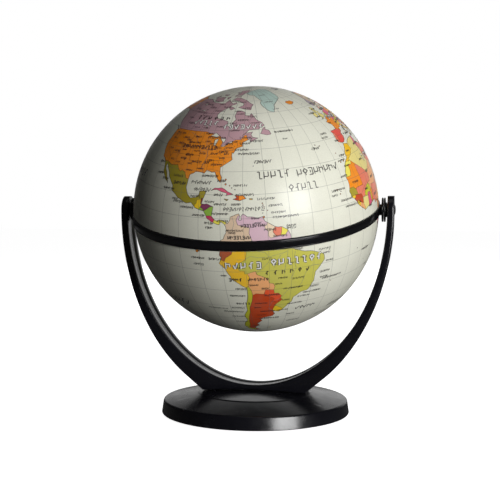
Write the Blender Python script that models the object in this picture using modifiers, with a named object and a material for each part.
"""Desktop globe on a gimbal stand.

A round weighted base carries a crescent-shaped yoke. A ring round the globe's equator tilts on two
pivots at the yoke's tips, and the globe turns inside the ring about its poles.
The origin is on the floor under the globe's centre. +X runs from pivot to pivot, +Z is up and the
front is at -Y. All lengths are in metres.
"""

import math

import bmesh
import bpy
from mathutils import Matrix, Vector

# Clearances
GAP = 0.0003  # between pieces that rest on or fit round each other
PIVOT_GAP = 0.00025  # between the thin discs and washers along the pivot axis
OVERRUN = 0.0006  # how far a cut runs past the face that it opens
MERGE = 0.00001  # points closer than this are one point
UP = (0, 0, 1)
SHADING_WEIGHT = 80

# Globe
GLOBE_RADIUS = 0.055
SHELL_WALL = 0.0015
FLANGE_DEPTH = 0.0070  # how far the thick rim of a half reaches from the equator
JOINER_WALL = 0.0015
JOINER_REACH = 0.0064  # how far the joining ring reaches into each half
GLOBE_STEPS = 48
GLOBE_ARC_STEPS = 11

# Gimbal ring, in its own frame: z along the globe's poles
RING_TILT = math.radians(16.0)  # the north pole leans to the front
RING_PROUD = 0.0006  # the band stands this far out of the globe
RING_WALL = 0.0019
RING_HEIGHT = 0.0039
RING_EDGE = 0.00035
RIB_DEPTH = 0.0021  # the rib that the two halves hold between them
RIB_HEIGHT = 0.0016
RING_STEPS = 72

# Pivots
NECK_RADIUS = 0.00245
NECK_LENGTH = 0.00075
DISC_RADIUS = 0.00535
DISC_THICKNESS = 0.00072
DISC_EDGE = 0.00015
BOSS_RADIUS = 0.00325
BOSS_LENGTH = 0.00056  # keeps the bush's disc off the yoke
BARREL_RADIUS = 0.0026
PIN_RADIUS = 0.00105
PIN_HEAD_RADIUS = 0.0022
PIN_HEAD_PROUD = 0.0006
PIN_HEAD_SINK = 0.0004  # the head starts this far inside the yoke's outer face
PIN_HEAD_EDGE = 0.0004
PIN_POINT = 0.0005
PIN_GRIP = 0.0028  # how deep the pin is driven into the ring
PIVOT_WASHER = 0.0003
PIVOT_STEPS = 28

# Yoke
GLOBE_CLEARANCE = 0.0237  # under the globe, down to the yoke's inner arc
YOKE_TIP_THICKNESS = 0.0029
YOKE_DEEPENING = 0.0084  # how much deeper the outer ellipse is than the inner one
YOKE_WIDTH = 0.0124
YOKE_FOOT_THICKNESS = 0.0022  # at the middle of the foot
FOOT_HALF_WIDTH = 0.0233
HEEL_RISE = 0.0121  # from the outer ellipse's lowest point up to where the straight heel starts
YOKE_EDGE = 0.0005
BEVEL_FROM = math.radians(50)
TIP_END = 80.0  # the half-round tip ends in a small flat, this many degrees round
TIP_STEPS = 6
FOOT_STEPS = 12
YOKE_STEPS = 36

# Base, heights from the lower edge of its skirt
PAD_PROUD = 0.0008  # the rubber pads lift the skirt this far off the floor
BASE_RADIUS = 0.0423
SKIRT_DRAFT = 0.0008
SHOULDER_HEIGHT = 0.0058
SHOULDER_FILLET = 0.0010
CROWN_MARGIN = 0.0022  # the crown reaches this far past the yoke's foot
CROWN_HEIGHT = 0.0100
CROWN_DROP = 0.0010
CROWN_STEP = 0.0004
CROWN_STEPS = 4
BASE_WALL = 0.0020
BASE_STEPS = 48

# What the base holds
PLATE_SINK = 0.0006  # the bottom plate lies this far inside the skirt
PLATE_THICKNESS = 0.0016
PLATE_SCREW_ANGLES = (90, 210, 330)
PLATE_SCREW_RADIUS = 0.0009
PLATE_SCREW_HEAD = 0.0019
PLATE_SCREW_REACH = 0.0040
PLATE_BOSS_RADIUS = 0.0023
PLATE_BOSS_INSET = 0.0035  # from the skirt's inner face to the bosses
WEIGHT_TO_SCREWS = 0.0014
WEIGHT_TO_BOSSES = 0.0022
WEIGHT_HEADROOM = 0.0005
WEIGHT_EDGE = 0.0004
PAD_ANGLES = (45, 135, 225, 315)
PAD_INSET = 0.0031  # from the skirt's inner face to the pads
PAD_RADIUS = 0.0042
PAD_EDGE = 0.0002
YOKE_SCREW_SPAN = 0.0240
YOKE_SCREW_RADIUS = 0.0011
YOKE_SCREW_HEAD = 0.0021
YOKE_SCREW_GRIP = 0.0026
YOKE_WASHER_RADIUS = 0.0026
YOKE_WASHER_THICKNESS = 0.0004
SCREW_HEAD_HEIGHT = 0.0008
SCREW_HEAD_EDGE = 0.00027
SCREW_POINT_SHARE = 0.4  # the width of a screw's point, as a share of its shank
SCREW_STEPS = 16

# What follows from the sizes above
RING_OUTER = GLOBE_RADIUS + RING_PROUD
RING_INNER = RING_OUTER - RING_WALL
DISC_START = RING_OUTER + NECK_LENGTH
DISC_END = DISC_START + DISC_THICKNESS
BUSH_START = DISC_END + PIVOT_GAP
BUSH_DISC_END = BUSH_START + DISC_THICKNESS
ARM_INSIDE = BUSH_DISC_END + BOSS_LENGTH + GAP
ARM_OUTSIDE = ARM_INSIDE + YOKE_TIP_THICKNESS
BARREL_BORE = BARREL_RADIUS + GAP
PIN_BORE = PIN_RADIUS + GAP
YOKE_INNER_DEPTH = GLOBE_RADIUS + GLOBE_CLEARANCE
YOKE_OUTER_DEPTH = YOKE_INNER_DEPTH + YOKE_DEEPENING
HEEL_DEPTH = YOKE_OUTER_DEPTH - HEEL_RISE
CENTRE_HEIGHT = PAD_PROUD + CROWN_HEIGHT + GAP + YOKE_FOOT_THICKNESS + YOKE_INNER_DEPTH
CROWN_RADIUS = FOOT_HALF_WIDTH + CROWN_MARGIN
SHOULDER_RADIUS = BASE_RADIUS - SKIRT_DRAFT
CEILING = CROWN_HEIGHT - CROWN_DROP - BASE_WALL  # under the crown's edge
PLATE_TOP = PLATE_SINK + PLATE_THICKNESS
PLATE_SCREW_CIRCLE = BASE_RADIUS - BASE_WALL - PLATE_BOSS_INSET - PLATE_BOSS_RADIUS
PAD_CIRCLE = BASE_RADIUS - BASE_WALL - PAD_INSET - PAD_RADIUS
WEIGHT_INNER_RADIUS = YOKE_SCREW_SPAN / 2 + YOKE_WASHER_RADIUS + WEIGHT_TO_SCREWS
WEIGHT_OUTER_RADIUS = PLATE_SCREW_CIRCLE - PLATE_BOSS_RADIUS - WEIGHT_TO_BOSSES
JOINER_OUTER = RING_INNER - RIB_DEPTH - 2 * GAP


def clear_scene():
    for obj in list(bpy.data.objects):
        bpy.data.objects.remove(obj, do_unlink=True)


def new_collection(name):
    collection = bpy.data.collections.new(name)
    bpy.context.scene.collection.children.link(collection)
    return collection


def plain_material(name, colour, roughness, metallic=0.0):
    material = bpy.data.materials.new(name)
    material.use_nodes = True
    shader = material.node_tree.nodes["Principled BSDF"]
    shader.inputs["Base Color"].default_value = (*colour, 1.0)
    shader.inputs["Roughness"].default_value = roughness
    shader.inputs["Metallic"].default_value = metallic
    return material


def add_object(name, mesh, collection, material=None, location=(0, 0, 0), rotation=(0, 0, 0)):
    obj = bpy.data.objects.new(name, mesh)
    collection.objects.link(obj)
    obj.location = location
    obj.rotation_euler = rotation
    if material:
        mesh.materials.append(material)
    return obj


def add_empty(name, collection, location, rotation=(0, 0, 0), parent=None):
    empty = add_object(name, None, collection, location=location, rotation=rotation)
    empty.parent = parent
    return empty


def arc(centre, radius, start, end, steps):
    """Points on a circle from angle start to angle end, both in degrees."""
    points = []
    for i in range(steps + 1):
        angle = math.radians(start + (end - start) * i / steps)
        points.append((centre[0] + radius * math.cos(angle), centre[1] + radius * math.sin(angle)))
    return points


def filleted(corners, steps=2):
    """Points (r, z) of a profile whose corners are (r, z) or (r, z, fillet radius)."""
    points = []
    for i, corner in enumerate(corners):
        here = Vector(corner[:2])
        if len(corner) < 3:
            points.append(tuple(here))
            continue
        before = (Vector(corners[i - 1][:2]) - here).normalized()
        after = (Vector(corners[(i + 1) % len(corners)][:2]) - here).normalized()
        half_angle = before.angle(after) / 2
        reach = corner[2] / math.tan(half_angle)
        centre = here + (before + after).normalized() * corner[2] / math.sin(half_angle)
        first = here + before * reach - centre
        turn = first.angle_signed(here + after * reach - centre)
        for k in range(steps + 1):
            spoke = first.copy()
            spoke.rotate(Matrix.Rotation(-turn * k / steps, 2))
            points.append(tuple(centre + spoke))
    return points


def turned(name, profile, collection, material, steps, closed=False):
    """A body turned about its own z axis from the points (r, z) of its profile."""
    mesh = bpy.data.meshes.new(name)
    edges = [(i, i + 1) for i in range(len(profile) - 1)]
    if closed:
        edges.append((len(profile) - 1, 0))
    mesh.from_pydata([(r, 0.0, z) for r, z in profile], edges, [])
    obj = add_object(name, mesh, collection, material)
    screw = obj.modifiers.new("turn", "SCREW")
    screw.axis = "Z"
    screw.angle = math.tau
    screw.steps = steps
    screw.render_steps = steps
    screw.use_merge_vertices = True
    screw.merge_threshold = MERGE
    screw.use_smooth_shade = True
    return obj


def shade_by_area(obj):
    """Lets the large flat and round faces set the shading, so that edges read as edges."""
    shading = obj.modifiers.new("shading", "WEIGHTED_NORMAL")
    shading.weight = SHADING_WEIGHT


def drill(name, radius, start, direction, length, cutters, steps=PIVOT_STEPS):
    """A cutting cylinder from the point start along direction."""
    mesh = bpy.data.meshes.new(name)
    shape = bmesh.new()
    bmesh.ops.create_cone(
        shape, cap_ends=True, segments=steps, radius1=radius, radius2=radius, depth=length
    )
    bmesh.ops.translate(shape, verts=shape.verts, vec=(0, 0, length / 2))
    turn = Vector((0, 0, 1)).rotation_difference(Vector(direction)).to_matrix().to_4x4()
    bmesh.ops.transform(shape, matrix=turn, verts=shape.verts)
    shape.to_mesh(mesh)
    shape.free()
    obj = add_object(name, mesh, cutters, location=start)
    obj.hide_render = True
    obj.display_type = "WIRE"
    return obj


def combine(obj, other, operation):
    boolean = obj.modifiers.new(other.name, "BOOLEAN")
    boolean.operation = operation
    boolean.solver = "EXACT"
    boolean.object = other


def lay_along_x(obj, side):
    """Turns a body made along z so that its z axis points outwards along the pivot axis."""
    obj.rotation_euler = (0, side * math.pi / 2, 0)


def flat_outline(name, points, thickness, collection):
    """A plate that stands in the XZ plane: points are (x, z), and thickness is along Y."""
    curve = bpy.data.curves.new(name, "CURVE")
    curve.dimensions = "2D"
    curve.fill_mode = "BOTH"
    curve.extrude = thickness / 2
    spline = curve.splines.new("POLY")
    spline.points.add(len(points) - 1)
    for point, (x, z) in zip(spline.points, points):
        point.co = (x, z, 0, 1)
    spline.use_cyclic_u = True
    drawn = add_object(name + "_outline", curve, collection)
    bpy.context.view_layer.update()
    mesh = bpy.data.meshes.new_from_object(drawn.evaluated_get(bpy.context.evaluated_depsgraph_get()))
    bpy.data.objects.remove(drawn)
    shape = bmesh.new()
    shape.from_mesh(mesh)
    bmesh.ops.remove_doubles(shape, verts=shape.verts, dist=MERGE)
    bmesh.ops.transform(shape, matrix=Matrix.Rotation(math.pi / 2, 4, "X"), verts=shape.verts)
    bmesh.ops.recalc_face_normals(shape, faces=shape.faces)
    shape.to_mesh(mesh)
    shape.free()
    return add_object(name, mesh, collection)


# Base


def crown_height(r):
    """Height of the crown, on which the yoke's foot stands, above the skirt's lower edge."""
    return CROWN_HEIGHT - CROWN_DROP * (r / CROWN_RADIUS) ** 2


def base_profile():
    crown = []
    for i in range(CROWN_STEPS):
        r = CROWN_RADIUS * i / CROWN_STEPS
        crown.append((r, crown_height(r)))
    edge = crown_height(CROWN_RADIUS)
    step_foot = (CROWN_RADIUS + 2 * CROWN_STEP, edge - CROWN_STEP)
    outside = [
        (CROWN_RADIUS, edge, CROWN_STEP),
        step_foot,
        (SHOULDER_RADIUS, SHOULDER_HEIGHT, SHOULDER_FILLET),
        (BASE_RADIUS, 0.0),
    ]
    inside = [
        (BASE_RADIUS - BASE_WALL, 0.0),
        (SHOULDER_RADIUS - BASE_WALL, SHOULDER_HEIGHT - BASE_WALL),
        (CROWN_RADIUS, CEILING),
        (0.0, CEILING + CROWN_DROP / 2),
    ]
    return filleted([*crown, *outside, *inside])


def ceiling_height(r):
    """Height of the ceiling inside the base at radius r, above the skirt's lower edge."""
    if r < CROWN_RADIUS:
        return CEILING
    share = (r - CROWN_RADIUS) / (SHOULDER_RADIUS - BASE_WALL - CROWN_RADIUS)
    return CEILING + (SHOULDER_HEIGHT - BASE_WALL - CEILING) * share


def on_circle(radius, degrees, height):
    angle = math.radians(degrees)
    return Vector((radius * math.cos(angle), radius * math.sin(angle), PAD_PROUD + height))


def make_base_shell(parts, cutters, materials):
    shell = turned("base_shell", base_profile(), parts, materials["stand"], BASE_STEPS)
    shell.location.z = PAD_PROUD
    boss_bottom = PLATE_TOP + GAP
    boss_height = ceiling_height(PLATE_SCREW_CIRCLE) + BASE_WALL / 2 - boss_bottom
    bore_depth = PLATE_SCREW_REACH - PLATE_THICKNESS + 2 * GAP
    for i, degrees in enumerate(PLATE_SCREW_ANGLES, 1):
        foot = on_circle(PLATE_SCREW_CIRCLE, degrees, boss_bottom)
        boss = drill(f"plate_boss_{i}", PLATE_BOSS_RADIUS, foot, UP, boss_height, cutters, SCREW_STEPS)
        combine(shell, boss, "UNION")
        start = foot - Vector((0, 0, GAP))
        bore = drill(f"plate_bore_{i}", PLATE_SCREW_RADIUS + GAP, start, UP, bore_depth, cutters, SCREW_STEPS)
        combine(shell, bore, "DIFFERENCE")
    for side in (-1, 1):
        start = (side * YOKE_SCREW_SPAN / 2, 0, PAD_PROUD + CEILING - OVERRUN)
        depth = CROWN_HEIGHT - CEILING + 2 * OVERRUN
        bore = YOKE_SCREW_RADIUS + GAP
        hole = drill(f"yoke_screw_hole_{side}", bore, start, UP, depth, cutters, SCREW_STEPS)
        combine(shell, hole, "DIFFERENCE")
    return shell


def make_bottom_plate(parts, cutters, materials):
    radius = BASE_RADIUS - BASE_WALL - 2 * GAP
    profile = [(0, PLATE_TOP), (radius, PLATE_TOP), (radius, PLATE_SINK), (0, PLATE_SINK)]
    plate = turned("base_bottom_plate", profile, parts, materials["plate"], BASE_STEPS)
    plate.location.z = PAD_PROUD
    recess = OVERRUN + SCREW_HEAD_HEIGHT + GAP
    through = PLATE_THICKNESS + 2 * OVERRUN
    for i, degrees in enumerate(PLATE_SCREW_ANGLES, 1):
        below = on_circle(PLATE_SCREW_CIRCLE, degrees, PLATE_SINK - OVERRUN)
        head = drill(f"plate_recess_{i}", PLATE_SCREW_HEAD + GAP, below, UP, recess, cutters, SCREW_STEPS)
        combine(plate, head, "DIFFERENCE")
        hole = drill(f"plate_hole_{i}", PLATE_SCREW_RADIUS + GAP, below, UP, through, cutters, SCREW_STEPS)
        combine(plate, hole, "DIFFERENCE")
    return plate


def screw_profile(head_radius, shank_radius, length):
    """A pan-head screw that points up: its head's underside is at z = 0 and the head hangs below."""
    return filleted(
        [
            (0.0, length),
            (shank_radius * SCREW_POINT_SHARE, length),
            (shank_radius, length - shank_radius),
            (shank_radius, 0.0),
            (head_radius, 0.0),
            (head_radius, -SCREW_HEAD_HEIGHT, SCREW_HEAD_EDGE),
            (0.0, -SCREW_HEAD_HEIGHT),
        ]
    )


def make_plate_screws(parts, materials):
    profile = screw_profile(PLATE_SCREW_HEAD, PLATE_SCREW_RADIUS, PLATE_SCREW_REACH - GAP)
    for i, degrees in enumerate(PLATE_SCREW_ANGLES, 1):
        screw = turned(f"plate_screw_{i}", profile, parts, materials["steel"], SCREW_STEPS)
        screw.location = on_circle(PLATE_SCREW_CIRCLE, degrees, PLATE_SINK + SCREW_HEAD_HEIGHT)


def make_weight(parts, materials):
    low = PLATE_TOP + GAP
    high = ceiling_height(WEIGHT_OUTER_RADIUS) - WEIGHT_HEADROOM
    profile = filleted(
        [
            (WEIGHT_INNER_RADIUS, high),
            (WEIGHT_OUTER_RADIUS, high, WEIGHT_EDGE),
            (WEIGHT_OUTER_RADIUS, low, WEIGHT_EDGE),
            (WEIGHT_INNER_RADIUS, low),
        ]
    )
    weight = turned("base_weight", profile, parts, materials["iron"], BASE_STEPS, closed=True)
    weight.location.z = PAD_PROUD


def make_pads(parts, materials):
    top = PLATE_SINK - GAP
    profile = filleted([(0, top), (PAD_RADIUS, top), (PAD_RADIUS, -PAD_PROUD, PAD_EDGE), (0, -PAD_PROUD)])
    for i, degrees in enumerate(PAD_ANGLES, 1):
        pad = turned(f"foot_pad_{i}", profile, parts, materials["rubber"], SCREW_STEPS)
        pad.location = on_circle(PAD_CIRCLE, degrees, 0.0)


def make_yoke_screws(parts, materials):
    washer_top = CEILING - GAP
    head_seat = washer_top - YOKE_WASHER_THICKNESS - GAP
    length = crown_height(YOKE_SCREW_SPAN / 2) + GAP + YOKE_SCREW_GRIP - head_seat
    screw = screw_profile(YOKE_SCREW_HEAD, YOKE_SCREW_RADIUS, length)
    bore = YOKE_SCREW_RADIUS + GAP
    washer = [
        (bore, 0.0),
        (YOKE_WASHER_RADIUS, 0.0),
        (YOKE_WASHER_RADIUS, -YOKE_WASHER_THICKNESS),
        (bore, -YOKE_WASHER_THICKNESS),
    ]
    for side, word in ((-1, "left"), (1, "right")):
        x = side * YOKE_SCREW_SPAN / 2
        made = turned(f"yoke_screw_{word}", screw, parts, materials["steel"], SCREW_STEPS)
        made.location = (x, 0, PAD_PROUD + head_seat)
        name = f"yoke_screw_washer_{word}"
        ring = turned(name, washer, parts, materials["steel"], SCREW_STEPS, closed=True)
        ring.location = (x, 0, PAD_PROUD + washer_top)


# Yoke


def ellipse_x(z, half_width, depth):
    """How far the ellipse about the globe's centre reaches along X at height z from that centre."""
    return half_width * math.sqrt(max(0.0, 1 - (z / depth) ** 2))


def yoke_outline():
    """The crescent, as points (x, z) from the globe's centre: outer side down, foot, inner side up."""
    tip_heights = [z for _, z in arc((0, 0), YOKE_WIDTH / 2, TIP_END, 0, TIP_STEPS)]
    foot_drop = PAD_PROUD + GAP - CENTRE_HEIGHT
    right = [(ARM_OUTSIDE, z) for z in tip_heights[:-1]]
    for i in range(YOKE_STEPS // 2 + 1):
        z = -HEEL_DEPTH * math.sin(math.pi / 2 * i / (YOKE_STEPS // 2))
        right.append((ellipse_x(z, ARM_OUTSIDE, YOKE_OUTER_DEPTH), z))
    foot = []
    for i in range(FOOT_STEPS + 1):
        x = FOOT_HALF_WIDTH * (1 - 2 * i / FOOT_STEPS)
        foot.append((x, foot_drop + crown_height(x)))
    left = [(-x, z) for x, z in reversed(right)]
    inner = [(-ARM_INSIDE, z) for z in tip_heights[:-1]]
    for i in range(YOKE_STEPS + 1):
        angle = math.pi * (1 + i / YOKE_STEPS)
        inner.append((ARM_INSIDE * math.cos(angle), YOKE_INNER_DEPTH * math.sin(angle)))
    inner += [(ARM_INSIDE, z) for z in reversed(tip_heights[:-1])]
    return right + foot + left + inner


def round_tips(mesh):
    """Narrows the strap above the pivot axis to a half-round end about that axis."""
    half = YOKE_WIDTH / 2
    for vertex in mesh.vertices:
        if vertex.co.z > 0:
            vertex.co.y *= math.sqrt(1 - (vertex.co.z / half) ** 2)


def make_yoke(parts, cutters, materials):
    yoke = flat_outline("yoke", yoke_outline(), YOKE_WIDTH, parts)
    round_tips(yoke.data)
    yoke.data.materials.append(materials["stand"])
    yoke.location.z = CENTRE_HEIGHT
    edges = yoke.modifiers.new("rounded_edges", "BEVEL")
    edges.width = YOKE_EDGE
    edges.segments = 1
    edges.limit_method = "ANGLE"
    edges.angle_limit = BEVEL_FROM
    edges.use_clamp_overlap = True
    for side in (-1, 1):
        start = (side * (ARM_INSIDE - OVERRUN), 0, CENTRE_HEIGHT)
        length = YOKE_TIP_THICKNESS + 2 * OVERRUN
        pivot = drill(f"pivot_hole_{side}", BARREL_BORE, start, (side, 0, 0), length, cutters)
        combine(yoke, pivot, "DIFFERENCE")
        x = side * YOKE_SCREW_SPAN / 2
        below = (x, 0, PAD_PROUD + crown_height(x) + GAP - OVERRUN)
        depth = YOKE_SCREW_GRIP + GAP + OVERRUN
        bore = YOKE_SCREW_RADIUS + GAP
        hole = drill(f"foot_hole_{side}", bore, below, UP, depth, cutters, SCREW_STEPS)
        combine(yoke, hole, "DIFFERENCE")
    return yoke


# Pivots


def make_bushes(parts, materials):
    """Each bush is turned about the pivot axis, with z = 0 at the globe's centre."""
    barrel_end = ARM_OUTSIDE - PIN_HEAD_SINK - PIVOT_WASHER - 2 * PIVOT_GAP
    profile = filleted(
        [
            (PIN_BORE, barrel_end),
            (BARREL_RADIUS, barrel_end),
            (BARREL_RADIUS, ARM_INSIDE - GAP),
            (BOSS_RADIUS, ARM_INSIDE - GAP),
            (BOSS_RADIUS, BUSH_DISC_END),
            (DISC_RADIUS, BUSH_DISC_END, DISC_EDGE),
            (DISC_RADIUS, BUSH_START, DISC_EDGE),
            (PIN_BORE, BUSH_START),
        ]
    )
    washer_end = barrel_end + PIVOT_GAP + PIVOT_WASHER
    washer = [
        (PIN_BORE, washer_end),
        (BARREL_RADIUS, washer_end),
        (BARREL_RADIUS, washer_end - PIVOT_WASHER),
        (PIN_BORE, washer_end - PIVOT_WASHER),
    ]
    for side, word in ((-1, "left"), (1, "right")):
        bush = turned(f"pivot_bush_{word}", profile, parts, materials["bush"], PIVOT_STEPS, closed=True)
        bush.location.z = CENTRE_HEIGHT
        lay_along_x(bush, side)
        ring = turned(f"pivot_washer_{word}", washer, parts, materials["steel"], PIVOT_STEPS, closed=True)
        ring.location.z = CENTRE_HEIGHT
        lay_along_x(ring, side)
    return washer_end


def make_pins(parts, materials, washer_end, ring_frame):
    """The pins are driven into the ring's necks from outside, through the bushes."""
    seat = washer_end + PIVOT_GAP
    top = ARM_OUTSIDE + PIN_HEAD_PROUD
    point = DISC_END - PIN_GRIP
    profile = filleted(
        [
            (0.0, top),
            (PIN_HEAD_RADIUS, top, PIN_HEAD_EDGE),
            (PIN_HEAD_RADIUS, seat),
            (PIN_RADIUS, seat),
            (PIN_RADIUS, point + PIN_POINT),
            (PIN_RADIUS / 2, point),
            (0.0, point),
        ]
    )
    for side, word in ((-1, "left"), (1, "right")):
        pin = turned(f"pivot_pin_{word}", profile, parts, materials["pin"], SCREW_STEPS)
        pin.parent = ring_frame
        lay_along_x(pin, side)


# Gimbal ring and globe, in the ring's own frame


def make_gimbal_ring(parts, cutters, materials, ring_frame):
    half = RING_HEIGHT / 2
    rib = RIB_HEIGHT / 2
    profile = filleted(
        [
            (RING_OUTER, half, RING_EDGE),
            (RING_OUTER, -half, RING_EDGE),
            (RING_INNER, -half),
            (RING_INNER, -rib),
            (RING_INNER - RIB_DEPTH, -rib),
            (RING_INNER - RIB_DEPTH, rib),
            (RING_INNER, rib),
            (RING_INNER, half),
        ]
    )
    ring = turned("gimbal_ring", profile, parts, materials["ring"], RING_STEPS, closed=True)
    ring.parent = ring_frame
    neck_root = GLOBE_RADIUS + GAP
    for side in (-1, 1):
        start = (side * neck_root, 0, 0)
        into_disc = DISC_START + DISC_THICKNESS / 2 - neck_root
        neck = drill(f"neck_{side}", NECK_RADIUS, start, (side, 0, 0), into_disc, cutters)
        disc_at = (side * DISC_START, 0, 0)
        disc = drill(f"disc_{side}", DISC_RADIUS, disc_at, (side, 0, 0), DISC_THICKNESS, cutters)
        pin_point = DISC_END - PIN_GRIP - GAP
        bore_at = (side * pin_point, 0, 0)
        depth = PIN_GRIP + GAP + OVERRUN
        bore = drill(f"pin_bore_{side}", PIN_BORE, bore_at, (side, 0, 0), depth, cutters, SCREW_STEPS)
        for shape, operation in ((neck, "UNION"), (disc, "UNION"), (bore, "DIFFERENCE")):
            shape.parent = ring_frame
            combine(ring, shape, operation)
    return ring


def globe_half_profile():
    """Outer dome from the pole down, the collar behind the ring's band, then up inside the wall."""
    band_top = RING_HEIGHT / 2 + PIVOT_GAP
    rib_top = RIB_HEIGHT / 2 + GAP
    collar = RING_INNER - GAP
    inner = GLOBE_RADIUS - SHELL_WALL
    low = math.degrees(math.asin(band_top / GLOBE_RADIUS))
    flange = math.degrees(math.asin(FLANGE_DEPTH / inner))
    outside = arc((0, 0), GLOBE_RADIUS, 90, low, GLOBE_ARC_STEPS)
    seat = JOINER_OUTER + GAP
    steps = [(collar, band_top), (collar, rib_top), (seat, rib_top), (seat, FLANGE_DEPTH)]
    inside = arc((0, 0), inner, flange, 90, GLOBE_ARC_STEPS - 1)
    outside[0] = (0.0, GLOBE_RADIUS)
    inside[-1] = (0.0, inner)
    return outside + steps + inside


def make_globe(parts, materials, spin_frame):
    profile = globe_half_profile()
    north = turned("globe_north_half", profile, parts, materials["map"], GLOBE_STEPS)
    south = turned("globe_south_half", profile, parts, materials["map"], GLOBE_STEPS)
    south.rotation_euler.x = math.pi
    inner = JOINER_OUTER - JOINER_WALL
    joiner_profile = [
        (inner, JOINER_REACH),
        (JOINER_OUTER, JOINER_REACH),
        (JOINER_OUTER, -JOINER_REACH),
        (inner, -JOINER_REACH),
    ]
    joiner = turned("joining_ring", joiner_profile, parts, materials["joiner"], GLOBE_STEPS, closed=True)
    for piece in (north, south, joiner):
        piece.parent = spin_frame


def make_materials():
    return {
        "stand": plain_material("stand_plastic", (0.010, 0.010, 0.013), 0.28),
        "ring": plain_material("ring_plastic", (0.008, 0.008, 0.010), 0.18),
        "bush": plain_material("bush_plastic", (0.012, 0.012, 0.014), 0.35),
        "pin": plain_material("pin_black", (0.015, 0.015, 0.017), 0.30),
        "map": plain_material("map_print", (0.78, 0.79, 0.70), 0.22),
        "joiner": plain_material("joiner_plastic", (0.55, 0.55, 0.52), 0.45),
        "steel": plain_material("zinc_steel", (0.62, 0.63, 0.65), 0.32, 1.0),
        "iron": plain_material("ballast_iron", (0.14, 0.13, 0.13), 0.60, 1.0),
        "plate": plain_material("plate_plastic", (0.020, 0.020, 0.022), 0.55),
        "rubber": plain_material("pad_rubber", (0.030, 0.030, 0.032), 0.85),
    }


def main():
    clear_scene()
    parts = new_collection("desktop_globe")
    cutters = new_collection("cutters")
    materials = make_materials()
    make_base_shell(parts, cutters, materials)
    make_bottom_plate(parts, cutters, materials)
    make_plate_screws(parts, materials)
    make_weight(parts, materials)
    make_pads(parts, materials)
    make_yoke_screws(parts, materials)
    make_yoke(parts, cutters, materials)
    washer_end = make_bushes(parts, materials)
    ring_frame = add_empty("ring_frame", parts, (0, 0, CENTRE_HEIGHT), (RING_TILT, 0, 0))
    spin_frame = add_empty("spin_frame", parts, (0, 0, 0), parent=ring_frame)
    make_gimbal_ring(parts, cutters, materials, ring_frame)
    make_pins(parts, materials, washer_end, ring_frame)
    make_globe(parts, materials, spin_frame)
    for obj in parts.objects:
        if obj.type == "MESH":
            shade_by_area(obj)


main()
